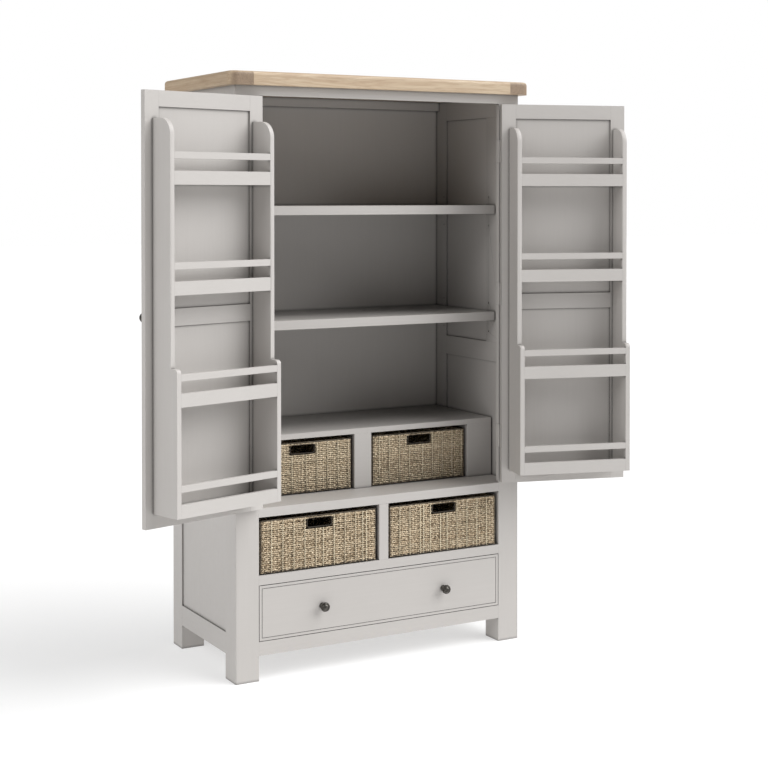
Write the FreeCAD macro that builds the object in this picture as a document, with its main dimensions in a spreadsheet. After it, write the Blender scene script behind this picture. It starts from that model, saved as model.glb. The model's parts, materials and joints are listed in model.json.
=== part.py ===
"""Double door larder cabinet with an oak top, four woven baskets, a drawer and a rack on each door.

The frame is +Z up, with the front towards -Y. The origin is on the floor under the middle of the
whole object as it is stored, with both doors standing open. Lengths are millimetres.
Depths given to the functions below are counted back from the face of the carcass, and heights from
the floor.
"""

import FreeCAD, Part
import math
import os
import Sketcher

doc = FreeCAD.newDocument("Larder")
sheet = doc.addObject("Spreadsheet::Sheet", "Dims")
Vector = FreeCAD.Vector


class Size:
    """A dimension that carries both its value and its formula over the cells of the sheet."""

    def __init__(self, value, formula):
        self.value = value
        self.formula = formula

    def __add__(self, other):
        other = as_size(other)
        return Size(self.value + other.value, f"({self.formula} + {other.formula})")

    def __sub__(self, other):
        other = as_size(other)
        return Size(self.value - other.value, f"({self.formula} - {other.formula})")

    def __mul__(self, other):
        other = as_size(other)
        return Size(self.value * other.value, f"({self.formula} * {other.formula})")

    def __truediv__(self, other):
        other = as_size(other)
        return Size(self.value / other.value, f"({self.formula} / {other.formula})")

    def __radd__(self, other):
        return as_size(other) + self

    def __rsub__(self, other):
        return as_size(other) - self

    def __rmul__(self, other):
        return as_size(other) * self

    def __neg__(self):
        return Size(-self.value, f"(-{self.formula})")


def as_size(value):
    """A plain number becomes a Size whose formula is that number."""
    return value if isinstance(value, Size) else Size(value, f"({value})")


def sine(angle):
    """The sine of an angle in degrees."""
    return Size(math.sin(math.radians(angle.value)), f"sin({angle.formula})")


def cosine(angle):
    """The cosine of an angle in degrees."""
    return Size(math.cos(math.radians(angle.value)), f"cos({angle.formula})")


def cell(alias, value):
    """Put one driving dimension in the sheet, under its own name."""
    row = f"A{cell.next_row}"
    cell.next_row += 1
    sheet.set(row, str(value))
    sheet.setAlias(row, alias)
    return Size(value, f"Dims.{alias}")


cell.next_row = 1

# ---------------------------------------------------------------- driving dimensions
# Carcass
body_width = cell("body_width", 1054)
body_depth = cell("body_depth", 522)
post_width = cell("post_width", 79)
post_round = cell("post_round", 3)
wall = cell("wall_thickness", 15)
face_thickness = cell("face_thickness", 16)
board = cell("board_thickness", 18)
ply = cell("ply_thickness", 6)
plinth_height = cell("plinth_height", 79)
foot_height = cell("foot_height", 105)
fit_gap = cell("fit_gap", 1)
back_recess = cell("back_recess", 4)

# Heights of the openings in the front, from the floor up
drawer_sill = cell("drawer_sill", 123)
drawer_head = cell("drawer_head", 300)
basket_sill = cell("basket_sill", 330.5)
basket_head = cell("basket_head", 513)
door_sill = cell("door_sill", 542)
door_head = cell("door_head", 1831)
carcass_height = cell("carcass_height", 1862)
divider_width = cell("divider_width", 34)

# Side frames
side_rail = cell("side_rail_height", 67)
mid_rail_base = cell("mid_rail_base", 940)
top_rail_base = cell("top_rail_base", 1792)
panel_inset = cell("panel_inset", 5)
front_strip_end = cell("front_strip_end", 176)

# Oak top
top_thickness = cell("top_thickness", 43)
top_side_overhang = cell("top_side_overhang", 29.5)
top_front_overhang = cell("top_front_overhang", 28)
top_back_overhang = cell("top_back_overhang", 2)
top_cap_width = cell("top_cap_width", 81)
top_edge_round = cell("top_edge_round", 12)
top_corner_round = cell("top_corner_round", 30)
top_rear_round = cell("top_rear_round", 12)

# Shelves and their pins
shelf_setback = cell("shelf_setback", 118)
shelf_thickness = cell("shelf_thickness", 30)
shelf_end_gap = cell("shelf_end_gap", 2)
lower_shelf_base = cell("lower_shelf_base", 1085)
upper_shelf_base = cell("upper_shelf_base", 1456)
pin_radius = cell("pin_radius", 2.5)
pin_length = cell("pin_length", 18)
pin_rise = cell("pin_rise", 8)
pin_pitch = cell("pin_pitch", 50)
front_pin_depth = cell("front_pin_depth", 161)
rear_pin_depth = cell("rear_pin_depth", 460)
hole_clearance = cell("hole_clearance", 0.1)

# Inner basket box
cubby_setback = cell("cubby_setback", 143)
cubby_head = cell("cubby_head", 725)
cubby_top_face = cell("cubby_top_face", 743)
cubby_opening = cell("cubby_opening", 380)
cubby_divider = cell("cubby_divider", 64)

# Doors
door_thickness = cell("door_thickness", 18)
door_gap = cell("door_gap", 3)
door_side_gap = cell("door_side_gap", 2)
door_width = cell("door_width", 446)
open_angle = cell("open_angle", 165)
pin_proud = cell("pin_proud", 3)
frame_member = cell("frame_member", 50)
door_top_rail = cell("door_top_rail", 48)
door_mid_rail = cell("door_mid_rail", 1134)
door_mid_height = cell("door_mid_height", 52)
door_panel = cell("door_panel", 7)

# Door racks
rack_start = cell("rack_start", 28)
rack_end = cell("rack_end", 419)
rack_board = cell("rack_board", 15)
rack_base = cell("rack_base", 589)
rack_step = cell("rack_step", 1020)
rack_top = cell("rack_top", 1746)
rack_shallow = cell("rack_shallow", 86)
rack_deep = cell("rack_deep", 117)
rack_top_round = cell("rack_top_round", 50)
rack_step_round = cell("rack_step_round", 12)
rack_pitch = cell("rack_pitch", 320.8)
rack_lip = cell("rack_lip_height", 40.5)
rack_rail = cell("rack_rail_height", 20)
rack_rail_rise = cell("rack_rail_rise", 75.5)
rack_front = cell("rack_front", 12)

# Hinges and knobs
leaf_thickness = cell("leaf_thickness", 0.9)
leaf_length = cell("leaf_length", 76)
leaf_width = cell("leaf_width", 16)
barrel_radius = cell("barrel_radius", 2.7)
hinge_pin_radius = cell("hinge_pin_radius", 1.3)
running_clearance = cell("running_clearance", 0.05)
hinge_inset = cell("hinge_inset", 120)
knob_radius = cell("knob_radius", 15)
knob_reach = cell("knob_reach", 32)
stud_radius = cell("stud_radius", 2)
stud_length = cell("stud_length", 15)
knob_spread = cell("knob_spread", 226)
knob_height = cell("knob_height", 209.5)
door_knob_height = cell("door_knob_height", 1161.5)

# Drawer
drawer_face = cell("drawer_face", 20)
drawer_gap = cell("drawer_gap", 2)
drawer_box_width = cell("drawer_box_width", 868)
drawer_box_height = cell("drawer_box_height", 140)
drawer_box_depth = cell("drawer_box_depth", 430)
drawer_side = cell("drawer_side", 14)
drawer_lift = cell("drawer_lift", 8.5)
slide_gap = cell("slide_gap", 0.5)
guide_height = cell("guide_height", 36)
bead_inset = cell("bead_inset", 8)
bead_width = cell("bead_width", 2)
bead_depth = cell("bead_depth", 1.5)

# Baskets
basket_height = cell("basket_height", 170)
basket_wall = cell("basket_wall", 9)
lower_basket_width = cell("lower_basket_width", 420)
lower_basket_depth = cell("lower_basket_depth", 440)
upper_basket_width = cell("upper_basket_width", 370)
upper_basket_depth = cell("upper_basket_depth", 345)
basket_setback = cell("basket_setback", 4)
grip_width = cell("grip_width", 88)
grip_height = cell("grip_height", 30)
grip_drop = cell("grip_drop", 8)
grip_round = cell("grip_round", 8)
basket_round = cell("basket_round", 6)

# ---------------------------------------------------------------- derived dimensions
half_width = body_width / 2
inner_half = half_width - wall
opening_half = half_width - post_width
ajar = 180 - open_angle
# How far the open doors' racks stand out in front of the carcass
front_reach = pin_proud + rack_end * sine(ajar) + (pin_proud + door_thickness + rack_deep) * cosine(ajar)
face_y = (front_reach - body_depth - top_back_overhang) / 2
back_panel_depth = body_depth - back_recess - ply
doc.recompute()

pieces = []


def piece(thing, label):
    """Name a finished sub-part and keep it for export."""
    thing.Label = label
    pieces.append(thing)
    return thing


def bind(thing, **sizes):
    """Tie the properties of an object to the sheet."""
    for name, size in sizes.items():
        thing.setExpression(name, as_size(size).formula)
    return thing


def put(thing, x, depth, z):
    """Stand an object in the carcass: x from the middle, depth from the front face, z from the floor."""
    thing.setExpression("Placement.Base.x", as_size(x).formula)
    thing.setExpression("Placement.Base.y", (face_y + depth).formula)
    thing.setExpression("Placement.Base.z", as_size(z).formula)
    return thing


def box(x, depth, z, width, deep, high):
    """A square-edged board standing in the carcass."""
    thing = doc.addObject("Part::Box", "Board")
    bind(thing, Length=width, Width=deep, Height=high)
    return put(thing, x, depth, z)


def plain_box(x, y, z, width, deep, high):
    """A square-edged block in its own piece's coordinates, for use in a cut."""
    thing = doc.addObject("Part::Box", "Block")
    bind(thing, Length=width, Width=deep, Height=high)
    for axis, size in zip("xyz", (x, y, z)):
        thing.setExpression(f"Placement.Base.{axis}", as_size(size).formula)
    return thing


def rod(x, y, z, radius, length, along):
    """A round bar or hole in its own piece's coordinates, running from x, y, z along an axis."""
    thing = doc.addObject("Part::Cylinder", "Rod")
    bind(thing, Radius=radius, Height=length)
    turns = {"x": (Vector(0, 1, 0), 90), "y": (Vector(1, 0, 0), -90), "z": (Vector(0, 0, 1), 0)}
    thing.Placement = FreeCAD.Placement(Vector(), FreeCAD.Rotation(*turns[along]))
    for axis, size in zip("xyz", (x, y, z)):
        thing.setExpression(f"Placement.Base.{axis}", as_size(size).formula)
    return thing


def cut(base, tools):
    """Take several tools away from a base."""
    for tool in tools:
        result = doc.addObject("Part::Cut", "Cut")
        result.Base = base
        result.Tool = tool
        base = result
    return base


def fuse(things):
    """Join several shapes into one."""
    result = doc.addObject("Part::MultiFuse", "Fuse")
    result.Shapes = things
    result.Refine = True
    return result


def group(things, label):
    """Identical separate pieces that share one node."""
    result = doc.addObject("Part::Compound", "Group")
    result.Links = things
    return piece(result, label)


def plane_of(body, role):
    """One of a body's own origin planes."""
    return [f for f in body.Origin.OriginFeatures if f.Role == role][0]


def outline(body, role, corners, offset=None):
    """A closed sketch through corners (across, up, radius), with each corner's place and radius bound."""
    sketch = body.newObject("Sketcher::SketchObject", "Outline")
    sketch.AttachmentSupport = [(plane_of(body, role), "")]
    sketch.MapMode = "FlatFace"
    if offset is not None:
        sketch.setExpression("AttachmentOffset.Base.z", as_size(offset).formula)
    corners = [tuple(as_size(number) for number in corner) for corner in corners]
    ends = []
    for i, (across, up, radius) in enumerate(corners):
        before, after = corners[i - 1], corners[(i + 1) % len(corners)]
        ends.append(corner_ends((across, up), before, after, radius))
    lines = []
    for i, (_, leave) in enumerate(ends):
        arrive = ends[(i + 1) % len(ends)][0]
        start = Vector(leave[0].value, leave[1].value, 0)
        finish = Vector(arrive[0].value, arrive[1].value, 0)
        lines.append(sketch.addGeometry(Part.LineSegment(start, finish)))
    for i, line in enumerate(lines):
        fix_point(sketch, line, 1, ends[i][1])
        following = (i + 1) % len(lines)
        arrive, leave = ends[following]
        radius = corners[following][2]
        if radius.value == 0:
            sketch.addConstraint(Sketcher.Constraint("Coincident", line, 2, lines[following], 1))
            continue
        fix_point(sketch, line, 2, arrive)
        add_corner_arc(sketch, line, lines[following], arrive, leave, corners[following])
    return sketch


def corner_ends(corner, before, after, radius):
    """Where the straight runs meet a corner's arc, for a corner between square-on runs."""
    points = []
    for other in (before, after):
        step = []
        for here, there in zip(corner, other[:2]):
            gap = there.value - here.value
            sign = 0 if abs(gap) < 1e-9 else math.copysign(1, gap)
            step.append(here + radius * sign if radius.value and sign else here)
        points.append(tuple(step))
    return points[0], points[1]


def fix_point(sketch, line, end, place):
    """Bind one end of a line to its place."""
    for kind, size in zip(("DistanceX", "DistanceY"), place):
        index = sketch.addConstraint(Sketcher.Constraint(kind, line, end, size.value))
        sketch.setExpression(f"Constraints[{index}]", size.formula)


def add_corner_arc(sketch, line, following, arrive, leave, corner):
    """Round a corner between two lines."""
    across, up, radius = corner
    first = Vector(arrive[0].value, arrive[1].value, 0)
    last = Vector(leave[0].value, leave[1].value, 0)
    sharp = Vector(across.value, up.value, 0)
    centre = first + last - sharp
    middle = centre + (sharp - centre) * (radius.value / (sharp - centre).Length)
    shape = Part.Arc(first, middle, last)
    arc = sketch.addGeometry(shape)
    begins_first = (sketch.Geometry[arc].StartPoint - first).Length < 1e-6
    begin, finish = (1, 2) if begins_first else (2, 1)
    sketch.addConstraint(Sketcher.Constraint("Coincident", line, 2, arc, begin))
    sketch.addConstraint(Sketcher.Constraint("Coincident", following, 1, arc, finish))
    index = sketch.addConstraint(Sketcher.Constraint("Radius", arc, radius.value))
    sketch.setExpression(f"Constraints[{index}]", radius.formula)


def pad(body, sketch, length):
    """Raise a sketch into a solid."""
    feature = body.newObject("PartDesign::Pad", "Pad")
    feature.Profile = sketch
    bind(feature, Length=length)
    return feature


def pocket(body, sketch, length):
    """Sink a sketch into a solid."""
    feature = body.newObject("PartDesign::Pocket", "Pocket")
    feature.Profile = sketch
    bind(feature, Length=length)
    return feature


def new_body():
    return doc.addObject("PartDesign::Body", "Body")


# ---------------------------------------------------------------- oak top
def top_board(x, width, outer_side):
    """One member of the oak top, with its upper edges eased; an end cap's outer corners are rounded."""
    deep = body_depth + top_front_overhang + top_back_overhang
    body = new_body()
    left_front = top_corner_round if outer_side < 0 else 0
    right_front = top_corner_round if outer_side > 0 else 0
    left_rear = top_rear_round if outer_side < 0 else 0
    right_rear = top_rear_round if outer_side > 0 else 0
    corners = [(0, 0, left_front), (width, 0, right_front), (width, deep, right_rear), (0, deep, left_rear)]
    raised = pad(body, outline(body, "XY_Plane", corners), top_thickness)
    doc.recompute()
    high = top_thickness.value
    reach = deep.value
    wide = width.value

    def eased(point):
        on_top = abs(point.z - high) < 0.01
        at_front_or_back = point.y < 0.01 or point.y > reach - 0.01
        at_outer_end = (outer_side < 0 and point.x < 0.01) or (outer_side > 0 and point.x > wide - 0.01)
        return on_top and (at_front_or_back or at_outer_end)

    edges = []
    for number, edge in enumerate(raised.Shape.Edges, start=1):
        if eased(edge.CenterOfMass):
            edges.append(f"Edge{number}")
    fillet = body.newObject("PartDesign::Fillet", "Eased")
    fillet.Base = (raised, edges)
    bind(fillet, Radius=top_edge_round)
    return put(body, x, -top_front_overhang, carcass_height)


def oak_top():
    end = half_width + top_side_overhang
    centre_half = end - top_cap_width
    piece(top_board(-centre_half, centre_half * 2, 0), "top_centre_panel")
    caps = [top_board(-end, top_cap_width, -1), top_board(centre_half, top_cap_width, 1)]
    group(caps, "top_end_caps")


# ---------------------------------------------------------------- carcass
def post(side, front):
    """A corner post: an L of two boards above a square foot, with its outer arris rounded."""
    body = new_body()
    outer = 0 if side < 0 else post_width
    inner = post_width - outer
    thick = wall if side < 0 else post_width - wall
    face = 0 if front else post_width
    far = post_width - face
    square = [(outer, face, post_round), (inner, face, 0), (inner, far, 0), (outer, far, 0)]
    pad(body, outline(body, "XY_Plane", square), foot_height)
    if front:
        angle = [
            (outer, 0, post_round),
            (inner, 0, 0),
            (inner, face_thickness, 0),
            (thick, face_thickness, 0),
            (thick, post_width, 0),
            (outer, post_width, 0),
        ]
    else:
        angle = [(outer, post_width, post_round), (thick, post_width, 0), (thick, 0, 0), (outer, 0, 0)]
    pad(body, outline(body, "XY_Plane", angle, foot_height), carcass_height - foot_height)
    start = opening_half if side > 0 else -half_width
    if front:
        return put(body, start, 0, 0)
    holes = pin_holes(side, post_width - (body_depth - rear_pin_depth), start)
    return put(cut(body, holes), start, body_depth - post_width, 0)


def pin_heights():
    """The heights of the three pin holes of each shelf."""
    heights = []
    for base in (lower_shelf_base, upper_shelf_base):
        for step in (-1, 0, 1):
            heights.append(base + pin_rise + pin_pitch * step)
    return heights


def pin_holes(side, depth, start):
    """Holes for shelf pins in a side wall, in the coordinates of a piece that starts at start."""
    deep = pin_length / 2 + hole_clearance
    inner_face = inner_half * side - start
    x = inner_face - deep if side < 0 else inner_face
    radius = pin_radius + hole_clearance
    return [rod(x, depth, height, radius, deep, "x") for height in pin_heights()]


def side_frame(side, name):
    """The rails and panels between a front post and a rear post."""
    outer = -half_width if side < 0 else inner_half
    depth = post_width
    span = body_depth - post_width * 2
    rails = [
        box(outer, depth, plinth_height, wall, span, side_rail),
        box(outer, depth, mid_rail_base, wall, span, side_rail),
        box(outer, depth, top_rail_base, wall, span, carcass_height - top_rail_base),
    ]
    group(rails, f"{name}_side_rails")
    panel_x = outer + panel_inset if side < 0 else half_width - panel_inset - ply
    low = plinth_height + side_rail
    middle = mid_rail_base + side_rail
    panels = [
        box(panel_x, depth, low, ply, span, mid_rail_base - low),
        box(panel_x, depth, middle, ply, span, top_rail_base - middle),
    ]
    group(panels, f"{name}_side_panels")


def pin_strips():
    """Battens behind the front posts, inside the side panels, drilled for the front shelf pins."""
    strips = []
    low = mid_rail_base + side_rail
    high = top_rail_base - low
    thick = wall - panel_inset - ply
    for side in (-1, 1):
        x = -inner_half - thick if side < 0 else inner_half
        blank = plain_box(x, post_width, low, thick, front_strip_end - post_width, high)
        strips.append(put(cut(blank, pin_holes_in_place(side, thick)), 0, 0, 0))
    group(strips, "pin_strips")


def pin_holes_in_place(side, thick):
    """The front holes, through the strip."""
    x = -inner_half - thick if side < 0 else inner_half
    radius = pin_radius + hole_clearance
    return [rod(x, front_pin_depth, height, radius, thick, "x") for height in pin_heights()]


def shelf(base, label):
    """A loose shelf, notched underneath over its four pins."""
    width = (inner_half - shelf_end_gap) * 2
    deep = back_panel_depth - fit_gap * 2 - shelf_setback
    blank = plain_box(0, 0, 0, width, deep, shelf_thickness)
    notch_wide = pin_radius * 2 + fit_gap * 2
    notch_long = pin_length / 2 + fit_gap
    notch_high = pin_rise + pin_radius + fit_gap / 2
    notches = []
    for depth in (front_pin_depth, rear_pin_depth):
        y = depth - shelf_setback - notch_wide / 2
        for x in (as_size(0), width - notch_long):
            notches.append(plain_box(x, y, 0, notch_long, notch_wide, notch_high))
    piece(put(cut(blank, notches), -inner_half + shelf_end_gap, shelf_setback, base), label)


def shelf_pins():
    """Steel pins, half in the wall and half under the shelf."""
    pins = []
    for base in (lower_shelf_base, upper_shelf_base):
        for side in (-1, 1):
            for depth in (front_pin_depth, rear_pin_depth):
                bury = wall - panel_inset - ply if depth is front_pin_depth else pin_length / 2
                length = bury + pin_length / 2
                x = -inner_half - bury if side < 0 else inner_half - pin_length / 2
                pins.append(put(rod(x, 0, 0, pin_radius, length, "x"), x, depth, base + pin_rise))
    group(pins, "shelf_pins")


def carcass():
    for side, name in ((-1, "left"), (1, "right")):
        piece(post(side, True), f"front_{name}_post")
        piece(post(side, False), f"rear_{name}_post")
        side_frame(side, name)
    pin_strips()
    opening = opening_half * 2
    rails = (
        ("bottom_front_rail", plinth_height, drawer_sill),
        ("drawer_head_rail", drawer_head, basket_sill),
        ("middle_front_rail", basket_head, door_sill),
        ("top_front_rail", door_head, carcass_height),
    )
    for label, low, high in rails:
        piece(box(-opening_half, 0, low, opening, face_thickness, high - low), label)
    inner = inner_half * 2
    start = face_thickness
    deep = back_panel_depth - start
    piece(box(-inner_half, start, door_sill - board, inner, deep, board), "cabinet_floor")
    piece(box(-inner_half, start, basket_sill - board, inner, deep, board), "basket_floor")
    bottom_deep = body_depth - board - start
    piece(box(-inner_half, start, foot_height, inner, bottom_deep, ply), "bottom_panel")
    back_panels()
    basket_bay()
    cubby()
    shelf(lower_shelf_base, "lower_shelf")
    shelf(upper_shelf_base, "upper_shelf")
    shelf_pins()


def back_panels():
    """Two sheets that close the back, with a rail above and below."""
    inner = inner_half * 2
    split = door_sill - board / 2
    sheets = [
        box(-inner_half, back_panel_depth, drawer_sill, inner, ply, split - drawer_sill),
        box(-inner_half, back_panel_depth, split, inner, ply, carcass_height - split),
    ]
    group(sheets, "back_panels")
    deep = back_panel_depth - board
    width = opening_half * 2
    high = drawer_sill - plinth_height
    piece(box(-opening_half, body_depth - board, plinth_height, width, board, high), "back_bottom_rail")
    piece(box(-inner_half, deep, door_head, inner, board, carcass_height - door_head), "back_top_rail")


def basket_bay():
    """The post and boards that part and guide the two lower baskets."""
    high = basket_head - basket_sill
    divider = box(-divider_width / 2, 0, basket_sill, divider_width, face_thickness, high)
    piece(divider, "basket_divider_post")
    deep = back_panel_depth - face_thickness
    lift = door_sill - board - basket_sill
    boards = []
    for x in (-opening_half - board, -board / 2, opening_half):
        boards.append(box(x, face_thickness, basket_sill, board, deep, lift))
    group(boards, "basket_partitions")


def cubby():
    """The fixed box behind the doors that holds the two upper baskets."""
    width = inner_half * 2
    deep = back_panel_depth - cubby_setback
    thick = cubby_top_face - cubby_head
    piece(box(-inner_half, cubby_setback, cubby_head, width, deep, thick), "cubby_top")
    high = cubby_head - door_sill
    edge = cubby_divider / 2 + cubby_opening
    filler = inner_half - edge
    stiles = [
        box(-inner_half, cubby_setback, door_sill, filler, board, high),
        box(-cubby_divider / 2, cubby_setback, door_sill, cubby_divider, board, high),
        box(edge, cubby_setback, door_sill, filler, board, high),
    ]
    group(stiles, "cubby_front_stiles")
    behind = cubby_setback + board
    boards = []
    for x in (-edge - board, -board / 2, edge):
        boards.append(box(x, behind, door_sill, board, back_panel_depth - behind, high))
    group(boards, "cubby_partitions")


# ---------------------------------------------------------------- doors
def hang(thing, side, along, depth, z, span=0):
    """Stand an object on an open door: along from the hinge edge, depth from the outer face."""
    away = as_size(along) if side < 0 else -(as_size(along) + span)
    back = as_size(depth) + pin_proud
    turn = open_angle * side
    pin_x = opening_half * side
    x = pin_x + away * cosine(turn) - back * sine(turn)
    y = away * sine(turn) + back * cosine(turn) - pin_proud
    thing.setExpression("Placement.Rotation.Angle", turn.formula)
    return put(thing, x, y, z)


def door_box(side, along, depth, z, span, deep, high):
    """A square-edged board on a door."""
    thing = doc.addObject("Part::Box", "Board")
    bind(thing, Length=span, Width=deep, Height=high)
    return hang(thing, side, along, depth, z, span)


def door_levels():
    """Bottom and top of a door leaf."""
    return door_sill + door_gap, door_head - door_gap


def door_leaf(side, name):
    """A framed leaf with two thin panels and a middle rail."""
    low, high = door_levels()
    free_stile = door_width - frame_member
    hinge_stile = door_side_gap + frame_member
    knob_hole = stud_hole(frame_member / 2, door_knob_height - low)
    blank = plain_box(0, 0, 0, frame_member, door_thickness, high - low)
    drilled = hang(cut(blank, [knob_hole]), side, free_stile, 0, low, frame_member)
    plain = door_box(side, door_side_gap, 0, low, frame_member, door_thickness, high - low)
    group([plain, drilled], f"{name}_door_stiles")
    span = free_stile - hinge_stile
    mid_top = door_mid_rail + door_mid_height
    rails = (
        (low, low + frame_member),
        (door_mid_rail, mid_top),
        (high - door_top_rail, high),
    )
    boards = [door_box(side, hinge_stile, 0, a, span, door_thickness, b - a) for a, b in rails]
    group(boards, f"{name}_door_rails")
    inset = (door_thickness - door_panel) / 2
    fields = ((low + frame_member, door_mid_rail), (mid_top, high - door_top_rail))
    boards = [door_box(side, hinge_stile, inset, a, span, door_panel, b - a) for a, b in fields]
    group(boards, f"{name}_door_panels")


def rack_upright():
    """A rack side board: shallow above, deeper below a step, with rounded front corners."""
    body = new_body()
    corners = [
        (0, 0, 0),
        (rack_deep, 0, 0),
        (rack_deep, rack_step - rack_base, rack_step_round),
        (rack_shallow, rack_step - rack_base, 0),
        (rack_shallow, rack_top - rack_base, rack_top_round),
        (0, rack_top - rack_base, 0),
    ]
    pad(body, outline(body, "YZ_Plane", corners), rack_board)
    return body


def rack(side, name):
    """The spice rack on the inside of a door."""
    inside = door_thickness
    uprights = []
    for along in (rack_start, rack_end - rack_board):
        uprights.append(hang(rack_upright(), side, along, inside, rack_base, rack_board))
    group(uprights, f"{name}_rack_uprights")
    start = rack_start + rack_board
    span = rack_end - rack_board - start
    shelves = []
    fronts = []
    for level in range(4):
        base = rack_base + rack_pitch * level
        deep = rack_deep if level < 2 else rack_shallow
        shelves.append(door_box(side, start, inside, base, span, deep - rack_front, rack_front))
        face = inside + deep - rack_front
        fronts.append(door_box(side, start, face, base, span, rack_front, rack_lip))
        fronts.append(door_box(side, start, face, base + rack_rail_rise, span, rack_front, rack_rail))
    group(shelves, f"{name}_rack_shelves")
    group(fronts, f"{name}_rack_fronts")


def knob():
    """A turned knob on a stud: its foot is at the origin and its head points to -Y.

    Each share is a corner of the turning: a part of the knob's radius and a part of its reach.
    """
    body = new_body()
    sketch = body.newObject("Sketcher::SketchObject", "Turning")
    sketch.AttachmentSupport = [(plane_of(body, "XY_Plane"), "")]
    sketch.MapMode = "FlatFace"
    shares = (
        (0.62, 0),
        (0.62, 0.08),
        (0.4, 0.22),
        (0.4, 0.38),
        (1, 0.52),
        (1, 0.8),
        (0.8, 0.97),
        (0.62, 0.93),
        (0, 1),
    )
    corners = [(as_size(0), stud_length), (stud_radius, stud_length), (stud_radius, as_size(0))]
    for across, out in shares:
        corners.append((knob_radius * across, -(knob_reach * out)))
    lines = []
    for i, (across, out) in enumerate(corners):
        following = corners[(i + 1) % len(corners)]
        start = Vector(across.value, out.value, 0)
        finish = Vector(following[0].value, following[1].value, 0)
        lines.append(sketch.addGeometry(Part.LineSegment(start, finish)))
    for i, line in enumerate(lines):
        fix_point(sketch, line, 1, corners[i])
        sketch.addConstraint(Sketcher.Constraint("Coincident", line, 2, lines[(i + 1) % len(lines)], 1))
    turned = body.newObject("PartDesign::Revolution", "Turned")
    turned.Profile = sketch
    turned.ReferenceAxis = (sketch, ["V_Axis"])
    turned.Angle = 360
    return body


def stud_hole(x, z):
    """The blind hole for a knob's stud, in the coordinates of the board it is drilled in."""
    return rod(x, 0, z, stud_radius + hole_clearance, stud_length + fit_gap, "y")


def hinge_levels():
    """The bottoms of the three hinges of a door."""
    low, high = door_levels()
    middle = (low + high - leaf_length) / 2
    return low + hinge_inset, middle, high - hinge_inset - leaf_length


def hinge_leaf(x, numbers, bore_radius):
    """A hinge leaf round the pin axis at the origin; its knuckles are the numbered fifths of its length."""
    share = leaf_length / 5
    back = barrel_radius + fit_gap / 2
    root = bore_radius + leaf_thickness / 4
    solids = [plain_box(x, back, 0, leaf_thickness, pin_proud + leaf_width - back, leaf_length)]
    bores = []
    for number in numbers:
        base = share * number
        solids.append(rod(0, 0, base, barrel_radius, share, "z"))
        solids.append(plain_box(x, root, base, leaf_thickness, back - bore_radius, share))
        bores.append(rod(0, 0, base, bore_radius, share, "z"))
    return cut(fuse(solids), bores)


def hinges():
    """Three butt hinges to a door, whose pins stand just proud of the face."""
    frame_leaves = []
    pins = []
    for side, name in ((-1, "left"), (1, "right")):
        door_leaves = []
        for base in hinge_levels():
            x = as_size(0) if side < 0 else -leaf_thickness
            leaf = hinge_leaf(x, (0, 2, 4), hinge_pin_radius)
            frame_leaves.append(put(leaf, opening_half * side, -pin_proud, base))
            pin = rod(0, 0, 0, hinge_pin_radius, leaf_length, "z")
            pins.append(put(pin, opening_half * side, -pin_proud, base))
            x = door_side_gap - leaf_thickness if side < 0 else -door_side_gap
            leaf = hinge_leaf(x, (1, 3), hinge_pin_radius + running_clearance)
            door_leaves.append(hang(leaf, side, 0, -pin_proud, base))
        group(door_leaves, f"{name}_door_hinge_leaves")
    group(frame_leaves, "hinge_frame_leaves")
    group(pins, "hinge_pins")


def doors():
    for side, name in ((-1, "left"), (1, "right")):
        door_leaf(side, name)
        rack(side, name)
        centre = door_width - frame_member / 2
        piece(hang(knob(), side, centre, 0, door_knob_height), f"{name}_door_knob")
    hinges()


# ---------------------------------------------------------------- drawer
def drawer():
    """An inset front with a beaded edge on a plain box, two knobs, and the runners that carry it."""
    face_half = opening_half - drawer_gap
    face_high = drawer_head - drawer_sill - drawer_gap * 2
    blank = plain_box(0, 0, 0, face_half * 2, drawer_face, face_high)
    rings = []
    for inset in (bead_inset, bead_inset + bead_width):
        width = (face_half - inset) * 2
        rings.append(plain_box(inset, 0, inset, width, bead_depth, face_high - inset * 2))
    groove = cut(rings[0], rings[1:])
    z = knob_height - drawer_sill - drawer_gap
    holes = [stud_hole(face_half + knob_spread * side, z) for side in (-1, 1)]
    front = cut(blank, [groove] + holes)
    piece(put(front, -face_half, 0, drawer_sill + drawer_gap), "drawer_front")
    box_half = drawer_box_width / 2
    low = drawer_sill + drawer_lift
    sides = []
    for x in (-box_half, box_half - drawer_side):
        sides.append(box(x, drawer_face, low, drawer_side, drawer_box_depth, drawer_box_height))
    group(sides, "drawer_sides")
    between = (box_half - drawer_side) * 2
    start = -box_half + drawer_side
    rear = drawer_face + drawer_box_depth - drawer_side
    piece(box(start, rear, low, between, drawer_side, drawer_box_height), "drawer_back")
    deep = drawer_box_depth - drawer_side
    piece(box(start, drawer_face, low + ply, between, deep, ply), "drawer_bottom")
    knobs = [put(knob(), knob_spread * side, 0, knob_height) for side in (-1, 1)]
    group(knobs, "drawer_knobs")
    runners = []
    base = foot_height + ply
    run = back_panel_depth - drawer_face - board
    rise = low - slide_gap - base
    guide = inner_half - box_half - fit_gap
    for side in (-1, 1):
        x = -inner_half if side < 0 else box_half - drawer_side
        runners.append(box(x, drawer_face, base, inner_half - box_half + drawer_side, run, rise))
        x = -inner_half if side < 0 else inner_half - guide
        runners.append(box(x, drawer_face, base + rise, guide, run, guide_height))
    group(runners, "drawer_runners")


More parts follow.
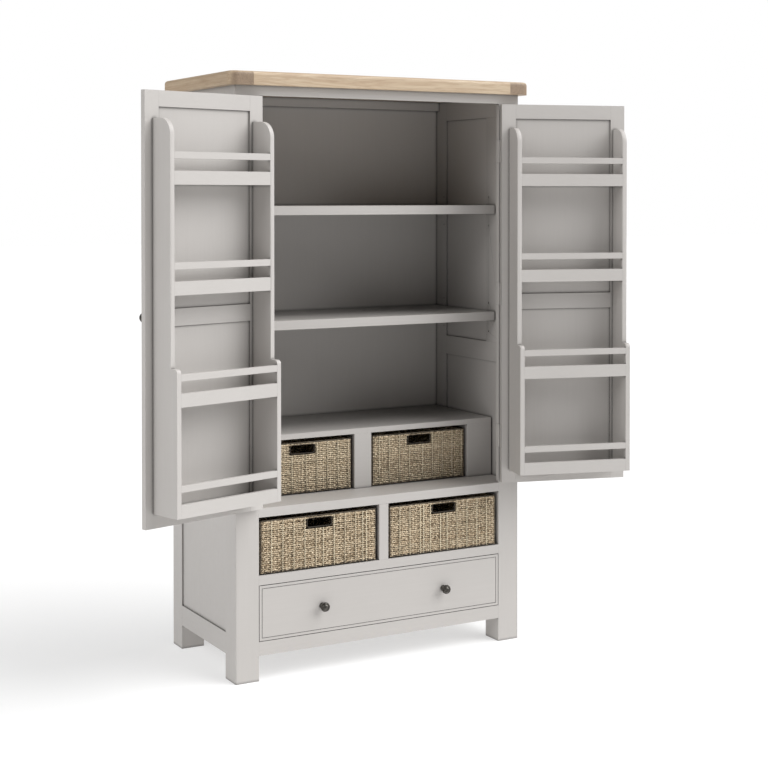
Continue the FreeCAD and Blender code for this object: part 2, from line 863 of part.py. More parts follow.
# ---------------------------------------------------------------- baskets
def basket(width, deep, x, depth, z, label):
    """An open woven basket: a tray with thick walls and a rounded hand hole in its front."""
    body = new_body()
    round_out = basket_round
    round_in = basket_round / 2
    tub = [(0, 0, round_out), (width, 0, round_out), (width, deep, round_out), (0, deep, round_out)]
    pad(body, outline(body, "XY_Plane", tub), basket_height)
    inside_x = width - basket_wall
    inside_y = deep - basket_wall
    hollow = [
        (basket_wall, basket_wall, round_in),
        (inside_x, basket_wall, round_in),
        (inside_x, inside_y, round_in),
        (basket_wall, inside_y, round_in),
    ]
    pocket(body, outline(body, "XY_Plane", hollow, basket_height), basket_height - basket_wall)
    left = (width - grip_width) / 2
    right = (width + grip_width) / 2
    head = basket_height - grip_drop
    foot = head - grip_height
    corners = ((left, foot), (right, foot), (right, head), (left, head))
    grip = [(across, up, grip_round) for across, up in corners]
    pocket(body, outline(body, "XZ_Plane", grip), basket_wall + fit_gap)
    piece(put(body, x, depth, z), label)


def baskets():
    bay = (opening_half + divider_width / 2) / 2
    middle = (cubby_divider + cubby_opening) / 2
    for side, name in ((-1, "left"), (1, "right")):
        x = bay * side - lower_basket_width / 2
        z = basket_sill + slide_gap
        basket(lower_basket_width, lower_basket_depth, x, basket_setback, z, f"lower_{name}_basket")
        x = middle * side - upper_basket_width / 2
        depth = cubby_setback + basket_setback
        z = door_sill + slide_gap
        basket(upper_basket_width, upper_basket_depth, x, depth, z, f"upper_{name}_basket")


oak_top()
carcass()
doors()
drawer()
baskets()
doc.recompute()

# ---------------------------------------------------------------- checks and export
for thing in doc.Objects:
    if "Invalid" in thing.State or "Error" in thing.State:
        raise SystemExit(f"{thing.Name} {thing.Label} failed: {thing.State}")
for thing in pieces:
    if thing.Shape.isNull() or not thing.Shape.isValid() or not thing.Shape.Solids:
        raise SystemExit(f"{thing.Label} has no valid solid")

os.makedirs("parts", exist_ok=True)
for thing in pieces:
    thing.Shape.exportStep(f"parts/{thing.Label}.step")
print(len(pieces), "nodes written")
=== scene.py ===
"""Double door larder cabinet: its finishes, woven baskets, fittings, light and camera.

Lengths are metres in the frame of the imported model: +Z up, the front towards -Y.
"""

import json
import math
import random

import bpy
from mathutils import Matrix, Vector


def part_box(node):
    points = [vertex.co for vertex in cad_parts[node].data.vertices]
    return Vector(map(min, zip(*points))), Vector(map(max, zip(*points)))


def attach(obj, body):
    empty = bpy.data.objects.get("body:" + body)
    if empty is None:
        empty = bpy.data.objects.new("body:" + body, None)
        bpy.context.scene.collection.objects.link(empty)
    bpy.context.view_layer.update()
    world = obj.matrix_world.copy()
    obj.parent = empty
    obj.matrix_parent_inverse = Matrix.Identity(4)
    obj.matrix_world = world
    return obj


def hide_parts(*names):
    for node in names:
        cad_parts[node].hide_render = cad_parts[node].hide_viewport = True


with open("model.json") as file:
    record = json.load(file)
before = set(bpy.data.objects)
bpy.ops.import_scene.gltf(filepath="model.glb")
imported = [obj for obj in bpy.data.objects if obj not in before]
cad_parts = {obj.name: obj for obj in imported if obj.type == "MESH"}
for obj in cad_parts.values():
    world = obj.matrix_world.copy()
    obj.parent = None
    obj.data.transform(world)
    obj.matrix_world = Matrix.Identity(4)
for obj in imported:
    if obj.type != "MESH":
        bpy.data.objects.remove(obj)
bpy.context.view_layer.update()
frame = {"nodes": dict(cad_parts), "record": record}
nodes = frame["nodes"]
MM = 0.001
AXES = {"x": Vector((1, 0, 0)), "y": Vector((0, 1, 0)), "z": Vector((0, 0, 1))}


def size(node):
    """The three dimensions of a CAD node."""
    low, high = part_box(node)
    return Vector(high) - Vector(low)


# Where the cabinet's front, its side walls' inner faces, its back and its basket box's top lie
FACE_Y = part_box("front_left_post")[0][1]
INNER_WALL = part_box("right_side_panels")[0][0]
BACK_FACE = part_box("back_panels")[0][1]
CUBBY_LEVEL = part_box("cubby_top")[1][2]


# ---------------------------------------------------------------- materials
# How near another surface is when painted shade darkens paint in a crease, and grass inside a basket
CREASE_SHADE_REACH = 0.01
BASKET_SHADE_REACH = 0.12
FLOOR_GLOW = 0.5


class Graph:
    """A material's node tree, with short ways to add a node and join it up."""

    def __init__(self, name, metallic=0.0):
        self.material = bpy.data.materials.new(name)
        self.material.use_nodes = True
        self.tree = self.material.node_tree
        self.shader = self.tree.nodes["Principled BSDF"]
        self.shader.inputs["Metallic"].default_value = metallic

    def feed(self, socket, value):
        """Give a socket a number, a colour or another node's output."""
        if isinstance(value, bpy.types.NodeSocket):
            self.tree.links.new(value, socket)
        elif isinstance(value, (tuple, list)) and len(value) == 3 and socket.type == "RGBA":
            socket.default_value = (*value, 1.0)
        else:
            socket.default_value = value

    def add(self, kind, inputs=(), **settings):
        """A node of a kind, with its settings and its inputs by number or name."""
        node = self.tree.nodes.new(kind)
        for key, value in settings.items():
            setattr(node, key, value)
        for key, value in dict(inputs).items():
            self.feed(node.inputs[key], value)
        return node

    def place(self):
        """Where a point is on the object at rest."""
        return self.add("ShaderNodeTexCoord").outputs["Object"]

    def scaled(self, vector, scale):
        """A vector stretched along its axes."""
        return self.add("ShaderNodeMapping", {"Vector": vector, "Scale": scale}).outputs[0]

    def noise(self, vector, scale, detail=2.0, roughness=0.5, distortion=0.0):
        inputs = {"Vector": vector, "Scale": scale, "Detail": detail}
        inputs.update({"Roughness": roughness, "Distortion": distortion})
        return self.add("ShaderNodeTexNoise", inputs).outputs[0]

    def sums(self, operation, first, second=0.5):
        inputs = {0: first, 1: second}
        return self.add("ShaderNodeMath", inputs, operation=operation).outputs[0]

    def spread(self, value, low, high, out_low=0.0, out_high=1.0):
        """A value moved from one range to another, and held inside it."""
        inputs = {"Value": value, "From Min": low, "From Max": high}
        inputs.update({"To Min": out_low, "To Max": out_high})
        return self.add("ShaderNodeMapRange", inputs).outputs[0]

    def blend(self, share, first, second, mode="MIX"):
        node = self.add("ShaderNodeMix", data_type="RGBA", blend_type=mode)
        for key, value in ((0, share), (6, first), (7, second)):
            self.feed(node.inputs[key], value)
        return node.outputs[2]

    def bump(self, height, distance, strength=1.0, under=None):
        node = self.add("ShaderNodeBump", {"Height": height, "Distance": distance, "Strength": strength})
        if under is not None:
            self.feed(node.inputs["Normal"], under)
        return node.outputs[0]

    def finish(self, colour, roughness, normal=None):
        self.feed(self.shader.inputs["Base Color"], colour)
        self.feed(self.shader.inputs["Roughness"], roughness)
        if normal is not None:
            self.feed(self.shader.inputs["Normal"], normal)
        return self.material


def along(axis, stretch):
    """Scales that draw a texture out along one axis."""
    return tuple(1.0 / stretch if letter == axis else 1.0 for letter in "xyz")


def painted_deep_shade(g, place, shade):
    """How much painted shade darkens the paint inside the cupboard: none at its mouth, more further in.
    """
    start, end, most = shade
    parts = g.add("ShaderNodeSeparateXYZ", {0: place})
    across, depth, height = parts.outputs
    share = g.spread(depth, FACE_Y + start, FACE_Y + end, 0.0, most)
    walls = g.sums("LESS_THAN", g.sums("ABSOLUTE", across), INNER_WALL + 0.001)
    front_of_back = g.sums("LESS_THAN", depth, BACK_FACE + 0.002)
    low = g.sums("GREATER_THAN", height, CUBBY_LEVEL - 0.002)
    for limit in (walls, front_of_back, low):
        share = g.sums("MULTIPLY", share, limit)
    return share


def painted_wood(name, axis, light, dark, shade):
    """Eggshell paint, brushed along the board, over wood whose grain just shows; painted shade darkens
    its creases and the cupboard's inside.
    """
    g = Graph(name)
    place = g.place()
    drawn = g.scaled(place, along(axis, 26))
    strokes = g.noise(drawn, 420, 3, 0.6)
    grain = g.noise(drawn, 120, 4, 0.65, 0.4)
    cloud = g.noise(place, 2.4, 3, 0.5)
    mottle = g.noise(place, 55, 3, 0.6)
    tone = g.sums("ADD", g.sums("MULTIPLY", cloud, 0.6), g.sums("MULTIPLY", grain, 0.4))
    colour = g.blend(g.spread(tone, 0.3, 0.7), dark, light)
    # Painted shade, darker further into the cupboard
    colour = g.blend(painted_deep_shade(g, place, shade), colour, (0.045, 0.043, 0.04))
    # Painted shade in creases and where boards meet
    corners = g.add("ShaderNodeAmbientOcclusion", {"Distance": CREASE_SHADE_REACH}, samples=6).outputs["AO"]
    colour = g.blend(g.spread(corners, 0.25, 0.95, 0.95, 0.0), colour, (0.03, 0.028, 0.025))
    roughness = g.spread(g.sums("ADD", strokes, mottle), 0.7, 1.3, 0.42, 0.56)
    fine = g.bump(strokes, 0.00012, 0.5)
    return g.finish(colour, roughness, g.bump(grain, 0.0004, 0.35, fine))


def oak(name, axis, light, mid, dark, end_tint):
    """Oiled oak: growth rings, pores, a slightly different tone to each stave, dark end grain."""
    g = Graph(name)
    place = g.place()
    across = "y" if axis == "x" else "x"
    stave = 0.107
    parts = g.add("ShaderNodeSeparateXYZ", {0: place})
    stave_number = g.sums("FLOOR", g.sums("DIVIDE", parts.outputs[across.upper()], stave))
    tint = g.add("ShaderNodeTexWhiteNoise", {"W": stave_number}, noise_dimensions="1D").outputs["Value"]
    shifted = g.add("ShaderNodeVectorMath", {0: place, 1: (0.37, 0.21, 0.11)}, operation="ADD")
    offset = g.add("ShaderNodeCombineXYZ", {"X": tint, "Y": tint, "Z": g.sums("MULTIPLY", tint, 0.4)})
    both = {0: shifted.outputs[0], 1: offset.outputs[0]}
    moved = g.add("ShaderNodeVectorMath", both, operation="ADD").outputs[0]
    drawn = g.scaled(moved, along(axis, 14))
    rings = g.noise(drawn, 26, 5, 0.55, 1.6)
    bands = g.sums("PINGPONG", g.sums("MULTIPLY", rings, 9.0), 1.0)
    figure = g.noise(drawn, 150, 4, 0.7, 0.5)
    pores = g.noise(g.scaled(moved, along(axis, 40)), 900, 2, 0.6)
    pore = g.spread(pores, 0.6, 0.72)
    colour = g.blend(g.spread(bands, 0.1, 0.95), light, mid)
    colour = g.blend(g.spread(figure, 0.5, 0.75, 0.0, 0.55), colour, dark)
    colour = g.blend(g.sums("MULTIPLY", pore, 0.45), colour, dark)
    colour = g.blend(g.spread(tint, 0.0, 1.0, 0.0, 0.35), colour, mid, "MULTIPLY")
    facing = g.add("ShaderNodeTexCoord").outputs["Normal"]
    turned = g.add("ShaderNodeSeparateXYZ", {0: facing}).outputs[axis.upper()]
    end = g.spread(g.sums("ABSOLUTE", turned), 0.6, 0.9)
    speckle = g.noise(place, 700, 3, 0.7)
    end_colour = g.blend(g.spread(speckle, 0.4, 0.8), end_tint, mid)
    colour = g.blend(g.sums("MULTIPLY", end, 0.92), colour, end_colour)
    roughness = g.spread(figure, 0.3, 0.7, 0.44, 0.6)
    height = g.sums("SUBTRACT", g.sums("MULTIPLY", figure, 0.5), pore)
    return g.finish(colour, roughness, g.bump(height, 0.00035, 0.6))


def pine(name, axis):
    """Bare sanded softwood for the parts of the drawer that don't show when it is closed."""
    g = Graph(name)
    drawn = g.scaled(g.place(), along(axis, 16))
    rings = g.sums("PINGPONG", g.sums("MULTIPLY", g.noise(drawn, 18, 4, 0.5, 1.2), 8.0), 1.0)
    fibre = g.noise(drawn, 300, 3, 0.6)
    colour = g.blend(g.spread(rings, 0.0, 1.0), (0.62, 0.44, 0.25), (0.47, 0.29, 0.13))
    colour = g.blend(g.spread(fibre, 0.45, 0.7, 0.0, 0.4), colour, (0.36, 0.2, 0.08))
    return g.finish(colour, g.spread(fibre, 0.3, 0.7, 0.55, 0.75), g.bump(fibre, 0.0003, 0.4))


def pewter():
    """Cast knobs with an aged dark finish, brighter in random patches."""
    g = Graph("pewter", metallic=0.85)
    place = g.place()
    patches = g.noise(place, 160, 4, 0.6)
    pits = g.noise(place, 1400, 2, 0.6)
    colour = g.blend(g.spread(patches, 0.35, 0.7), (0.035, 0.032, 0.028), (0.13, 0.122, 0.11))
    return g.finish(colour, g.spread(patches, 0.3, 0.7, 0.26, 0.44), g.bump(pits, 0.0001, 0.35))


def steel():
    """Brushed steel for the hinge pins and shelf pins."""
    g = Graph("steel", metallic=1.0)
    lines = g.noise(g.scaled(g.place(), along("z", 30)), 1500, 2, 0.6)
    colour = g.blend(lines, (0.42, 0.41, 0.39), (0.6, 0.59, 0.57))
    return g.finish(colour, g.spread(lines, 0.3, 0.7, 0.26, 0.42), g.bump(lines, 0.00005, 0.4))


def seagrass():
    """Twisted grass cord, with painted shade in the grooves of its twist and inside the basket. Each
    strand's mesh carries its run, its turn and its own shade.
    """
    g = Graph("seagrass")
    strand = g.add("ShaderNodeAttribute", attribute_name="strand").outputs["Vector"]
    parts = g.add("ShaderNodeSeparateXYZ", {0: strand})
    run, turn, shade = parts.outputs
    place = g.place()
    lay = g.sums("ADD", g.sums("DIVIDE", run, 0.0085), turn)
    ply = g.sums("ABSOLUTE", g.sums("SINE", g.sums("MULTIPLY", lay, math.pi)))
    along_cord = g.add("ShaderNodeCombineXYZ", {"X": g.sums("MULTIPLY", lay, 60.0), "Y": run})
    fibres = g.noise(along_cord.outputs[0], 3.0, 3, 0.7)
    patches = g.noise(place, 40, 3, 0.7)
    fleck = g.noise(place, 170, 2, 0.65)
    colour = g.blend(g.spread(patches, 0.32, 0.68), (0.34, 0.238, 0.135), (0.625, 0.472, 0.3))
    colour = g.blend(g.spread(fleck, 0.5, 0.6, 0.0, 0.85), colour, (0.88, 0.74, 0.54))
    colour = g.blend(g.spread(fleck, 0.46, 0.38, 0.0, 0.8), colour, (0.1, 0.07, 0.035))
    colour = g.blend(g.spread(fibres, 0.5, 0.8, 0.0, 0.4), colour, (0.17, 0.115, 0.06))
    colour = g.blend(g.spread(shade, 0.0, 1.0), colour, (0.95, 0.84, 0.62))
    # Painted shade in the grooves between the turns of the twist
    colour = g.blend(g.spread(ply, 0.0, 0.5, 0.8, 0.0), colour, (0.06, 0.04, 0.02))
    # Near-black cords: painted shade round the hand holes, and a dark binding with painted shade along
    # the basket's edges
    colour = g.blend(g.spread(shade, 0.0, -1.0), colour, (0.025, 0.02, 0.015))
    # Painted shade on the grass inside the basket and in its hollows
    painted_basket_shade = g.add("ShaderNodeAmbientOcclusion", {"Distance": BASKET_SHADE_REACH}, samples=4).outputs["AO"]
    colour = g.blend(g.spread(painted_basket_shade, 0.1, 0.5, 0.9, 0.0), colour, (0.015, 0.011, 0.008))
    height = g.sums("ADD", ply, g.sums("MULTIPLY", fibres, 0.4))
    return g.finish(colour, 0.8, g.bump(height, 0.0008, 0.8))


def floor_finish():
    """A plain pale studio floor, lit a little from below so that its shadows stay faint."""
    g = Graph("studio_floor")
    g.shader.inputs["Emission Color"].default_value = (1.0, 1.0, 1.0, 1.0)
    g.shader.inputs["Emission Strength"].default_value = FLOOR_GLOW
    cloud = g.noise(g.place(), 1.5, 2, 0.5)
    return g.finish(g.blend(cloud, (0.49, 0.49, 0.49), (0.51, 0.51, 0.51)), 0.85)


PAINT_LIGHT = (0.49, 0.468, 0.448)
PAINT_DARK = (0.459, 0.437, 0.417)
# Depths in the cupboard where painted shade on the paint starts and stops getting darker, and how dark
# it gets at most
DEEP_PAINTED_SHADE = {
    "x": (0.125, 0.35, 0.6),
    "y": (0.125, 0.45, 0.24),
    "z": (0.125, 0.45, 0.24),
}
# Painted shade over the inner face of the back panels and the back top rail
BACK_PAINTED_SHADE = (0.0, 0.1, 0.08)
PAINT = {
    axis: painted_wood(f"grey_paint_{axis}", axis, PAINT_LIGHT, PAINT_DARK, DEEP_PAINTED_SHADE[axis])
    for axis in "xyz"
}
BACK_PAINT_SHADED = painted_wood("grey_paint_back_shaded", "z", PAINT_LIGHT, PAINT_DARK, BACK_PAINTED_SHADE)
OAK_LIGHT = (0.53, 0.42, 0.295)
OAK_MID = (0.445, 0.33, 0.222)
OAK_DARK = (0.31, 0.215, 0.135)
OAK_END = (0.15, 0.1, 0.066)
OAK = {axis: oak(f"oak_{axis}", axis, OAK_LIGHT, OAK_MID, OAK_DARK, OAK_END) for axis in "xy"}
PINE = {axis: pine(f"bare_pine_{axis}", axis) for axis in "xy"}
PEWTER = pewter()
STEEL = steel()
SEAGRASS = seagrass()
FLOOR = floor_finish()

SLOTS = {entry["node"]: entry["material_slot"] for entry in frame["record"]["subparts"]}
# Groups of level boards whose own box is tall
LEVEL_BOARDS = ("rack_shelves", "rack_fronts", "door_rails")


def grain_axis(node):
    """The axis a board's grain runs along."""
    if node.endswith(LEVEL_BOARDS):
        return "x"
    if node.endswith("side_rails"):
        return "y"
    dimensions = size(node)
    return "xyz"[list(dimensions).index(max(dimensions))]


def dress(node, piece):
    """Give a CAD node the finish of its slot."""
    slot = SLOTS[node]
    finishes = {"pewter": PEWTER, "steel": STEEL, "seagrass": SEAGRASS}
    if node in ("back_panels", "back_top_rail"):
        material = BACK_PAINT_SHADED
    elif slot == "grey_paint":
        material = PAINT[grain_axis(node)]
    elif slot == "oak":
        material = OAK["x" if node == "top_centre_panel" else "y"]
    elif slot == "bare_pine":
        material = PINE["y" if node in ("drawer_sides", "drawer_runners") else "x"]
    else:
        material = finishes[slot]
    piece.data.materials.clear()
    piece.data.materials.append(material)


def ease(piece, width):
    """Take the sharpness off a board's edges."""
    weld = piece.modifiers.new("Weld", "WELD")
    weld.merge_threshold = 0.00001
    bevel = piece.modifiers.new("Eased", "BEVEL")
    bevel.width = width
    bevel.segments = 2
    bevel.limit_method = "ANGLE"
    bevel.angle_limit = math.radians(50)
    bevel.harden_normals = False


EASED = 0.6 * MM
SHARP_SLOTS = ("steel", "pewter", "seagrass")
for node, piece in nodes.items():
    dress(node, piece)
    if SLOTS[node] not in SHARP_SLOTS and "hinge" not in node and not node.startswith("top_"):
        ease(piece, EASED)


# ---------------------------------------------------------------- building meshes
def new_piece(name, vertices, faces, material, body, smooth=True):
    """A mesh object that rides on a body."""
    mesh = bpy.data.meshes.new(name)
    mesh.from_pydata(vertices, [], faces)
    mesh.materials.append(material)
    mesh.polygons.foreach_set("use_smooth", [smooth] * len(mesh.polygons))
    mesh.update()
    piece = bpy.data.objects.new(name, mesh)
    bpy.context.scene.collection.objects.link(piece)
    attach(piece, body)
    return piece


class Weave:
    """Strands of cord gathered into one mesh, whose points keep each strand's run, turn and shade."""

    def __init__(self):
        self.vertices = []
        self.faces = []
        self.strand = []

    def lay(self, path, up, radius, sides, closed, shade):
        """A cord of round section along a path."""
        first = len(self.vertices)
        count = len(path)
        run = 0.0
        for i, point in enumerate(path):
            before = path[i - 1] if closed or i else path[0]
            after = path[(i + 1) % count] if closed or i < count - 1 else path[-1]
            forward = (after - before).normalized()
            side = forward.cross(up).normalized()
            over = side.cross(forward)
            if i:
                run += (point - path[i - 1]).length
            for k in range(sides):
                turn = 2 * math.pi * k / sides
                spoke = side * math.cos(turn) + over * math.sin(turn)
                self.vertices.append(point + spoke * radius)
                self.strand.append((run, k / sides, shade))
        rings = count if closed else count - 1
        for i in range(rings):
            here = first + i * sides
            there = first + (i + 1) % count * sides
            for k in range(sides):
                following = (k + 1) % sides
                self.faces.append((here + k, here + following, there + following, there + k))
        if not closed:
            self.faces.append(tuple(first + k for k in range(sides))[::-1])
            self.faces.append(tuple(first + (count - 1) * sides + k for k in range(sides)))

    def piece(self, name, body):
        """The finished mesh."""
        piece = new_piece(name, self.vertices, self.faces, SEAGRASS, body)
        layer = piece.data.attributes.new("strand", "FLOAT_VECTOR", "POINT")
        layer.data.foreach_set("vector", [number for entry in self.strand for number in entry])
        return piece


# ---------------------------------------------------------------- baskets
CORD = 2.6 * MM
STAKE_PITCH = 13 * MM
ROW_PITCH = 6.4 * MM
SWAY = 1.6 * MM
RIM = 3.6 * MM
WALL_MIDDLE = 4.6 * MM
CORNER = 7 * MM
GRIP_WIDTH = 88 * MM
GRIP_HEIGHT = 30 * MM
GRIP_DROP = 8 * MM
# The grass of the upper baskets is painted a little paler, as painted light that offsets the shade they
# stand in
UPPER_PAINTED_LIGHT = 0.12
FIRST_SEED = 11


class RoundedRectangle:
    """The middle line of a basket's wall, measured from the middle of its front."""

    def __init__(self, low, high):
        self.low = low
        self.high = high
        width = high[0] - low[0]
        deep = high[1] - low[1]
        arc = CORNER * math.pi / 2
        half = width / 2 - CORNER
        self.runs = [
            ("line", half, Vector((low[0] + width / 2, low[1], 0)), Vector((1, 0, 0))),
            ("arc", arc, Vector((high[0] - CORNER, low[1] + CORNER, 0)), -math.pi / 2),
            ("line", deep - 2 * CORNER, Vector((high[0], low[1] + CORNER, 0)), Vector((0, 1, 0))),
            ("arc", arc, Vector((high[0] - CORNER, high[1] - CORNER, 0)), 0.0),
            ("line", 2 * half, Vector((high[0] - CORNER, high[1], 0)), Vector((-1, 0, 0))),
            ("arc", arc, Vector((low[0] + CORNER, high[1] - CORNER, 0)), math.pi / 2),
            ("line", deep - 2 * CORNER, Vector((low[0], high[1] - CORNER, 0)), Vector((0, -1, 0))),
            ("arc", arc, Vector((low[0] + CORNER, low[1] + CORNER, 0)), math.pi),
            ("line", half, Vector((low[0] + CORNER, low[1], 0)), Vector((1, 0, 0))),
        ]
        self.length = sum(run[1] for run in self.runs)

    def at(self, distance):
        """The point at a distance along the line, and the way out of the basket there."""
        distance %= self.length
        for kind, length, start, heading in self.runs:
            if distance <= length:
                break
            distance -= length
        if kind == "line":
            return start + heading * distance, Vector((heading.y, -heading.x, 0))
        angle = heading + distance / CORNER
        out = Vector((math.cos(angle), math.sin(angle), 0))
        return start + out * CORNER, out


def wall_rows(weave, line, base, top, stakes, grip, draw, painted_light):
    """Cords that go round the basket, in front of one stake and behind the next."""
    grip_low, grip_high = grip
    pitch = line.length / stakes
    per_stake = 3
    steps = stakes * per_stake
    row = 0
    z = base
    while z < top:
        cut = grip_low - CORD < z < grip_high + CORD
        path = []
        lift = draw.uniform(-0.35, 0.35) * MM
        phase = draw.uniform(0, 6.28)
        for i in range(steps):
            distance = i * pitch / per_stake
            gap = min(distance, line.length - distance)
            if cut and gap < GRIP_WIDTH / 2:
                continue
            point, out = line.at(distance)
            sway = SWAY * math.cos(math.pi * distance / pitch) * (-1) ** row
            wander = 0.3 * MM * math.sin(distance * 31 + phase)
            path.append(point + out * sway + Vector((0, 0, z + lift + wander)))
        radius = CORD * draw.uniform(0.9, 1.12)
        weave.lay(path, AXES["z"], radius, 5, not cut, painted_light + draw.uniform(0.0, 0.22))
        row += 1
        z += ROW_PITCH


def wall_stakes(weave, line, base, top, stakes, grip, draw):
    """Upright cords, each woven through the rows; some lie outside them and show pale."""
    grip_low, grip_high = grip
    pitch = line.length / stakes
    rows = int((top - base) / ROW_PITCH)
    for number in range(stakes):
        distance = number * pitch
        gap = min(distance, line.length - distance)
        point, out = line.at(distance)
        outside = number % 3 == 1 or draw.random() < 0.12
        spans = [(base, top)]
        if gap < GRIP_WIDTH / 2 + CORD:
            spans = [(base, grip_low - RIM), (grip_high + RIM, top)]
        for low, high in spans:
            path = []
            for row in range(rows + 1):
                z = base + row * ROW_PITCH
                if z < low - 0.5 * ROW_PITCH or z > high + 0.5 * ROW_PITCH:
                    continue
                sway = -SWAY * 0.8 * (-1) ** (number + row)
                path.append(point + out * sway + Vector((0, 0, min(max(z, low), high))))
            if len(path) > 1:
                weave.lay(path, out, CORD * 0.75, 5, False, draw.uniform(0.05, 0.3))
            if outside:
                lean = draw.uniform(-1.0, 1.0) * MM
                edge = out.cross(AXES["z"]) * lean
                shade = draw.uniform(0.55, 1.0)
                face = point + out * (SWAY + CORD * 0.9)
                straight = []
                for share in (0, 0.35, 0.7, 1):
                    straight.append(face + edge * share + AXES["z"] * (low + (high - low) * share))
                weave.lay(straight, out, CORD * 0.52, 5, False, shade)


def rings(weave, line, base, top, draw):
    """The bound rim, the bottom edge and the cords down the four corners. The top ring, the bottom ring
    and the corner cords are near black, partly a dark binding and partly painted shade along the
    basket's edges.
    """
    steps = int(line.length / (6 * MM))
    for z, offset, radius, shade in (
        (top - RIM * 0.7, 0.9, RIM * 0.7, -0.85),
        (top - 2.1 * RIM, 1.6, RIM * 0.7, 0.1),
        (base + RIM * 0.1, 1.2, RIM * 0.6, -0.85),
    ):
        path = []
        for i in range(steps):
            point, out = line.at(i * line.length / steps)
            path.append(point + out * (offset * MM - 0.6 * MM) + Vector((0, 0, z)))
        weave.lay(path, AXES["z"], radius, 8, True, shade)
    for x, way_x in ((line.low[0], -1), (line.high[0], 1)):
        for y, way_y in ((line.low[1], -1), (line.high[1], 1)):
            out = Vector((way_x, way_y, 0)).normalized()
            foot = Vector((x, y, 0)) - out * (CORNER * (math.sqrt(2) - 1) - 1.6 * MM)
            wobble = draw.uniform(0, 6.28)
            path = []
            for i in range(15):
                share = i / 14
                push = out * (0.5 * MM * math.sin(wobble + 9 * share))
                path.append(foot + push + Vector((0, 0, base + (top - RIM - base) * share)))
            weave.lay(path, out, RIM * 0.66, 7, False, -0.8)


def grip_ring(weave, centre, height, y):
    """The cord bound round the hand hole, near black as painted shade of the hole."""
    half_width = GRIP_WIDTH / 2
    half_height = height / 2
    curve = 8 * MM
    path = []
    for way_x, way_z, start in ((1, -1, -90), (1, 1, 0), (-1, 1, 90), (-1, -1, 180)):
        middle = Vector((way_x * (half_width - curve), 0, way_z * (half_height - curve)))
        for turn in range(0, 91, 18):
            angle = math.radians(start + turn)
            bend = Vector((math.cos(angle), 0, math.sin(angle))) * curve
            path.append(centre + middle + bend + AXES["y"] * y)
    weave.lay(path, AXES["y"], CORD * 0.55, 6, True, -0.95)


def bottom(weave, low, high, z, draw):
    """The plain weave of the basket's floor."""
    pitch = 15 * MM
    row_pitch = 7.5 * MM
    wide = high[0] - low[0]
    deep = high[1] - low[1]
    columns = int(wide / pitch)
    rows = int(deep / row_pitch)
    for row in range(rows + 1):
        y = low[1] + deep * row / rows
        path = []
        for i in range(2 * columns + 1):
            sway = 1.3 * MM * math.cos(math.pi * i / 2) * (-1) ** row
            path.append(Vector((low[0] + wide * i / (2 * columns), y, z + sway)))
        weave.lay(path, AXES["z"], 2.4 * MM, 5, False, draw.uniform(0, 0.25))
    for column in range(columns + 1):
        x = low[0] + wide * column / columns
        path = []
        for row in range(rows + 1):
            sway = -1.3 * MM * (-1) ** (column + row)
            path.append(Vector((x, low[1] + deep * row / rows, z + sway)))
        weave.lay(path, AXES["z"], 1.7 * MM, 5, False, draw.uniform(0, 0.25))


def basket(node, seed, painted_light):
    """A woven basket with the CAD tub's outer size; the last argument is how much paler its grass is
    painted, as painted light against its shade.
    """
    draw = random.Random(seed)
    low, high = (Vector(corner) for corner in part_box(node))
    inset = Vector((WALL_MIDDLE, WALL_MIDDLE, 0))
    line = RoundedRectangle(low + inset, high - inset)
    stakes = 2 * round(line.length / STAKE_PITCH / 2)
    base = low.z + 4 * MM
    top = high.z
    middle_z = top - GRIP_DROP - GRIP_HEIGHT / 2
    grip = (middle_z - GRIP_HEIGHT / 2, middle_z + GRIP_HEIGHT / 2)
    weave = Weave()
    wall_rows(weave, line, base + ROW_PITCH, top - 1.6 * RIM, stakes, grip, draw, painted_light)
    wall_stakes(weave, line, base, top - RIM, stakes, grip, draw)
    rings(weave, line, base, top, draw)
    centre = Vector(((low.x + high.x) / 2, line.low.y, middle_z))
    for y in (-2.6 * MM, 1.8 * MM):
        grip_ring(weave, centre, GRIP_HEIGHT, y)
    bottom(weave, line.low, line.high, base + 0.5 * MM, draw)
    piece = weave.piece(f"woven_{node}", node)
    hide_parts(node)


BASKETS = ("lower_left_basket", "lower_right_basket", "upper_left_basket", "upper_right_basket")
for seed, node in enumerate(BASKETS):
    basket(node, seed + FIRST_SEED, UPPER_PAINTED_LIGHT if node.startswith("upper") else 0.0)


# ---------------------------------------------------------------- knobs
KNOB_REACH = 32 * MM
DOOR_TURN = math.radians(165)
KNOB_SIDES = 48
# Corners of the turning: part of the knob's radius, and part of its reach from the wood
KNOB_PROFILE = (
    (0.64, 0.0),
    (0.66, 0.03),
    (0.62, 0.07),
    (0.5, 0.1),
    (0.41, 0.17),
    (0.37, 0.26),
    (0.38, 0.38),
    (0.48, 0.46),
    (0.74, 0.51),
    (0.93, 0.56),
    (1.0, 0.63),
    (1.0, 0.73),
    (0.96, 0.81),
    (0.9, 0.87),
    (0.82, 0.91),
    (0.74, 0.915),
    (0.68, 0.89),
    (0.63, 0.875),
    (0.57, 0.895),
    (0.46, 0.945),
    (0.32, 0.98),
    (0.16, 0.996),
)


